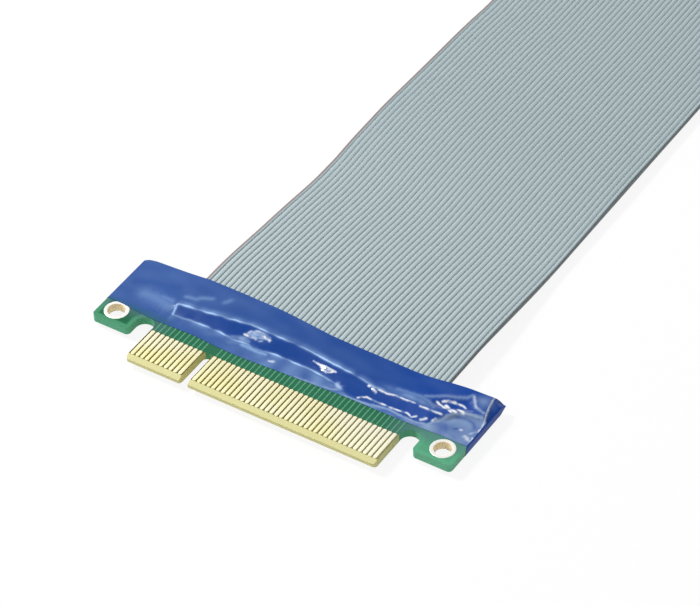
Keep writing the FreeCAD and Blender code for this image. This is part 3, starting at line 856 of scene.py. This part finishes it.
blueFilm = filmFinish()
makeFilm("edgeFilm", "edge_tape", blueFilm, boardHigh.y, -1, 0.0, photoLay, underLay)
makeFilm("socketFilm", "socket_tape", blueFilm, socketLow.y, 1, socketMidZ, plainLay, plainLay)


# Slot housing: the node's own shape with its outer and mouth edges broken
# Solder and contacts keep their shapes and get a finish

housing = {"chamfer": 0.16, "near": 0.01, "weld": 0.001, "flatAngle": 1, "cornerAngle": 57, "sharpAngle": 30}


def makeHousing(finish):
    bm = bmesh.new()
    bm.from_mesh(nodes["slot_housing"].data)
    bm.transform(Matrix.Scale(1 / mm, 4) @ nodes["slot_housing"].matrix_world)
    bmesh.ops.remove_doubles(bm, verts=bm.verts, dist=housing["weld"])
    flatAngle, cornerAngle = math.radians(housing["flatAngle"]), math.radians(housing["cornerAngle"])
    bmesh.ops.dissolve_limit(bm, angle_limit=flatAngle, verts=bm.verts, edges=bm.edges)

    def sidesTouched(edge):     # how many sides of the box both ends lie on
        ends = [vert.co for vert in edge.verts]
        sides = [(axis, limit[axis]) for limit in (housingLow, housingHigh) for axis in range(3)]
        return sum(all(abs(end[axis] - at) < housing["near"] for end in ends) for axis, at in sides)

    def atMouth(edge):
        return all(abs(vert.co.y - housingHigh.y) < housing["near"] for vert in edge.verts)

    corners = [e for e in bm.edges if e.is_convex and e.calc_face_angle(0) > cornerAngle]
    broken = [e for e in corners if sidesTouched(e) > 1 or atMouth(e)]
    bmesh.ops.bevel(bm, geom=broken, offset=housing["chamfer"], affect="EDGES", segments=2, profile=0.5,
                    clamp_overlap=True, material=-1)
    finishPiece(bm, "slotBody", finish, ["slot_housing"], housing["sharpAngle"])


def solderFinish():
    finish = Finish("brightSolder")
    flow = finish.grain(0.6, 3.0)
    base = finish.colour(flow, rgb(214, 214, 212), rgb(178, 178, 180))
    finish.bump(flow, 0.03)
    return finish.done({"Base Color": base, "Metallic": 0.9, "Roughness": 0.22 + 0.2 * flow})


def housingFinish():
    finish = Finish("blackMoulding")
    grain = finish.grain(0.15, 3.0)
    cloud = finish.grain(6.0, 2.0)
    base = finish.colour(cloud, rgb(26, 26, 28), rgb(40, 40, 43))
    finish.bump(grain, 0.01)
    return finish.done({"Base Color": base, "Roughness": 0.4 + 0.2 * grain})


solder = solderFinish()
for node in ("upper_edge_joints", "lower_edge_joints", "upper_socket_joints", "lower_socket_joints"):
    dress(node, solder)
makeHousing(housingFinish())
for node in ("upper_contacts", "lower_contacts"):
    dress(node, gold)


# Floor, light and camera

studio = {
    "floorReach": 3.0, "floorDrop": 0.00002, "floorGlow": 0.9, "fill": 0.38, "ceilingFrom": (0.2, 0.5),
    "ceilingDim": 0.88, "keyAzimuth": 97.4, "keyElevation": 51.3, "keyDistance": 0.9, "keySize": 0.18,
    "keyPower": 7.3, "keyAim": (0, 0.02, 0),
}
shot = {
    "eye": (0.28055, -0.38113, 0.45589), "azimuth": 34.15, "elevation": 42.38, "roll": -2.22, "lens": 196.85,
    "sensor": 36.0,
}
white = (1, 1, 1, 1)


def lightPathShare(owner):      # 1 for rays that see the background, 0 for those that light the object
    share = None
    for name in ("Is Camera Ray", "Is Glossy Ray", "Is Transmission Ray"):
        ray = owner.node("ShaderNodeLightPath", {}, (), name)
        share = ray if share is None else share.greater(ray)
    return share


def makeFloor():
    bm = bmesh.new()
    bmesh.ops.create_grid(bm, x_segments=1, y_segments=1, size=studio["floorReach"])
    bmesh.ops.translate(bm, vec=(0, 0, cadBox[0][2] - studio["floorDrop"]), verts=bm.verts)
    mesh = bpy.data.meshes.new("studioFloor")
    bm.to_mesh(mesh)
    bm.free()
    finish = Finish("paleFloor")
    finish.done({"Base Color": rgb(250, 250, 250), "Roughness": 0.9, "Specular IOR Level": 0.0})
    share = lightPathShare(finish) * studio["floorGlow"]
    glow = finish.node("ShaderNodeEmission", {}, {"Color": white, "Strength": 1.0})
    both = finish.node("ShaderNodeMixShader", {}, [share, Wire(finish, finish.shader.outputs[0]), glow])
    finish.feed(finish.tree.nodes["Material Output"].inputs["Surface"], both)
    mesh.materials.append(finish.material)
    floor = bpy.data.objects.new("studioFloor", mesh)
    bpy.context.scene.collection.objects.link(floor)


def makeWorld():
    world = bpy.data.worlds.new("softRoom")
    bpy.context.scene.world = world
    world.use_nodes = True
    room = Nodes(world.node_tree)
    back = world.node_tree.nodes["Background"]
    direction = room.node("ShaderNodeTexCoord", {}, (), "Generated")
    height = room.node("ShaderNodeSeparateXYZ", {}, [direction], "Z")
    above = room.ease(*studio["ceilingFrom"], height)
    seen = lightPathShare(room)
    room.feed(back.inputs["Color"], white)
    shown = 1 - above * studio["ceilingDim"]
    room.feed(back.inputs["Strength"], seen * shown + (1 - seen) * studio["fill"])


def makeKey():
    azimuth = math.radians(studio["keyAzimuth"])
    elevation = math.radians(studio["keyElevation"])
    towards = Vector((-math.sin(azimuth) * math.cos(elevation), math.cos(azimuth) * math.cos(elevation),
                      math.sin(elevation)))
    lamp = bpy.data.lights.new("softbox", "AREA")
    lamp.shape = "SQUARE"
    lamp.size = studio["keySize"]
    lamp.energy = studio["keyPower"]
    key = bpy.data.objects.new("softbox", lamp)
    key.location = Vector(studio["keyAim"]) + towards * studio["keyDistance"]
    key.rotation_euler = towards.to_track_quat("Z", "Y").to_euler()
    bpy.context.scene.collection.objects.link(key)


def makeCamera():
    lens = bpy.data.cameras.new("shotLens")
    lens.sensor_fit = "HORIZONTAL"
    lens.sensor_width = shot["sensor"]
    lens.lens = shot["lens"]
    camera = bpy.data.objects.new("shotCamera", lens)
    turn = (Matrix.Rotation(math.radians(shot["azimuth"]), 4, "Z")
            @ Matrix.Rotation(math.radians(90 - shot["elevation"]), 4, "X")
            @ Matrix.Rotation(math.radians(shot["roll"]), 4, "Z"))
    camera.matrix_world = Matrix.Translation(shot["eye"]) @ turn
    bpy.context.scene.collection.objects.link(camera)
    bpy.context.scene.camera = camera


makeFloor()
makeWorld()
makeKey()
makeCamera()
bpy.context.scene.view_settings.view_transform = "Standard"
print("studio ready")
